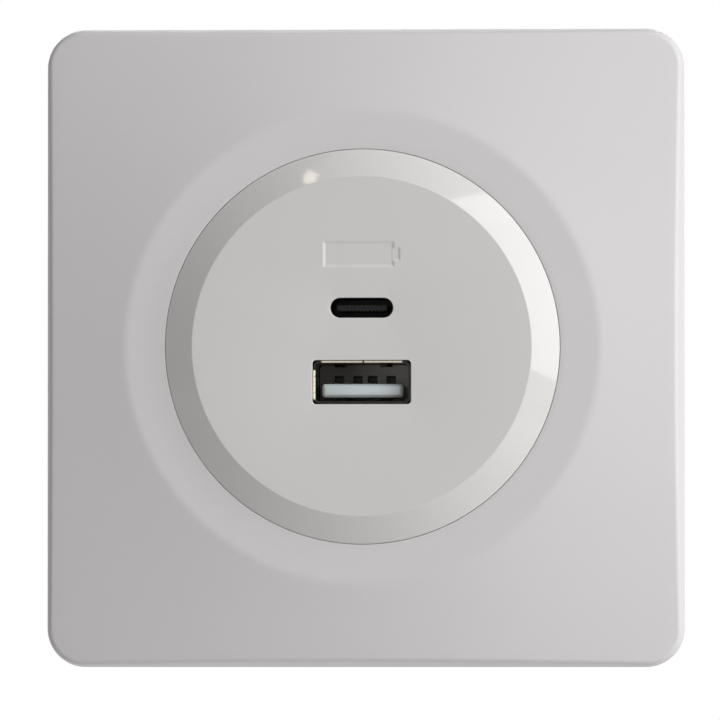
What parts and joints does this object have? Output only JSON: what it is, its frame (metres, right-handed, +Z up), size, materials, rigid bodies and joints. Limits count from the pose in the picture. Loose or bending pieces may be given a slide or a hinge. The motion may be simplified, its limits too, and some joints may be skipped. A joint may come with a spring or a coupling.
{
  "type": "usb wall socket",
  "caption": "Flush-mounted square wall socket with a round raised centre, one USB-A and one USB-C charging port, spreading claws and screw terminals behind.",
  "frame": {"origin": "centre of the support ring's rear face, in the wall plane", "axes": "X to the right as seen from the room, Z up, -Y into the room, +Y into the wall box"},
  "size_m": [0.086, 0.0382, 0.086],
  "materials": {
    "frame_plastic": "moulded thermoplastic, satin, light grey-white",
    "disc_plastic": "moulded thermoplastic, fine matt face and polished chamfer",
    "zinc_steel": "zinc-plated sheet steel",
    "screw_steel": "zinc-plated turned steel",
    "housing_plastic": "flame-retardant moulding, fine matt, light grey",
    "block_plastic": "dark moulded terminal block",
    "port_steel": "nickel-plated sheet",
    "tongue_plastic": "bluish white port moulding",
    "black_plastic": "black port moulding",
    "gold_contact": "gold-plated contacts",
    "clamp_brass": "bare brass clamp parts",
    "board_laminate": "green circuit board laminate",
    "ferrite": "dark grey sintered ferrite",
    "bobbin_plastic": "black phenolic moulding",
    "winding_tape": "yellow polyester tape",
    "copper_wire": "enamelled copper wire",
    "capacitor_sleeve": "shrunk sleeve on an aluminium can",
    "fuse_case": "dark moulded fuse case",
    "disc_coating": "blue dipped coating",
    "chip_epoxy": "moulded epoxy package",
    "header_plastic": "black header strip"
  },
  "bodies": {
    "socket": {"cover_frame": "frame_plastic", "centre_plate": "disc_plastic", "support_ring": "zinc_steel", "housing_front": "housing_plastic", "housing_rear": "housing_plastic", "case_screws": "screw_steel", "usb_a_shell": "port_steel", "usb_a_insulator": "tongue_plastic", "usb_a_contacts": "gold_contact", "usb_c_shell": "port_steel", "usb_c_insulator": "black_plastic", "usb_c_contacts": "gold_contact", "usb_board": "board_laminate", "power_board": "board_laminate", "link_header": "header_plastic", "link_pins": "gold_contact", "terminal_block": "block_plastic", "line_bar": "clamp_brass", "neutral_bar": "clamp_brass", "transformer_cores": "ferrite", "transformer_bobbin": "bobbin_plastic", "transformer_winding": "winding_tape", "input_capacitors": "capacitor_sleeve", "output_capacitors": "capacitor_sleeve", "fuse": "fuse_case", "filter_choke": "ferrite", "choke_winding": "copper_wire", "varistor": "disc_coating", "safety_capacitor": "disc_coating", "bridge_rectifier": "chip_epoxy", "switching_controller": "chip_epoxy", "optocoupler": "chip_epoxy", "output_rectifier": "chip_epoxy", "charge_controller": "chip_epoxy"},
    "left_claw": {"left_claw": "zinc_steel"},
    "right_claw": {"right_claw": "zinc_steel"},
    "left_claw_screw": {"left_claw_screw": "screw_steel"},
    "right_claw_screw": {"right_claw_screw": "screw_steel"},
    "line_screw": {"line_screw": "screw_steel"},
    "neutral_screw": {"neutral_screw": "screw_steel"},
    "line_cage": {"line_cage": "clamp_brass"},
    "neutral_cage": {"neutral_cage": "clamp_brass"}
  },
  "joints": [
    {"name": "left_claw_screw_turn", "type": "hinge", "parent": "socket", "child": "left_claw_screw", "pos_m": [-0.0225, 0, 0], "axis": [0, 1, 0], "range_deg": [0, 790]},
    {"name": "left_claw_swing", "type": "hinge", "parent": "socket", "child": "left_claw", "pos_m": [-0.0192, 0.0022, 0], "axis": [0, 0, 1], "range_deg": [0, 18]},
    {"name": "right_claw_screw_turn", "type": "hinge", "parent": "socket", "child": "right_claw_screw", "pos_m": [0.0225, 0, 0], "axis": [0, 1, 0], "range_deg": [0, 790]},
    {"name": "right_claw_swing", "type": "hinge", "parent": "socket", "child": "right_claw", "pos_m": [0.0192, 0.0022, 0], "axis": [0, 0, -1], "range_deg": [0, 18]},
    {"name": "line_screw_turn", "type": "hinge", "parent": "socket", "child": "line_screw", "pos_m": [-0.005, 0.02, -0.0165], "axis": [0, -1, 0], "range_deg": [0, 2160]},
    {"name": "line_cage_rise", "type": "slide", "parent": "socket", "child": "line_cage", "axis": [0, 1, 0], "range_m": [0, 0.003]},
    {"name": "neutral_screw_turn", "type": "hinge", "parent": "socket", "child": "neutral_screw", "pos_m": [0.005, 0.02, -0.0165], "axis": [0, -1, 0], "range_deg": [0, 2160]},
    {"name": "neutral_cage_rise", "type": "slide", "parent": "socket", "child": "neutral_cage", "axis": [0, 1, 0], "range_m": [0, 0.003]}
  ],
  "couplings": [
    {"joint": "left_claw_swing", "follows": "left_claw_screw_turn", "ratio": 0.02278},
    {"joint": "right_claw_swing", "follows": "right_claw_screw_turn", "ratio": 0.02278},
    {"joint": "line_screw_turn", "follows": "line_cage_rise", "rad_per_m": 12566},
    {"joint": "neutral_screw_turn", "follows": "neutral_cage_rise", "rad_per_m": 12566}
  ]
}
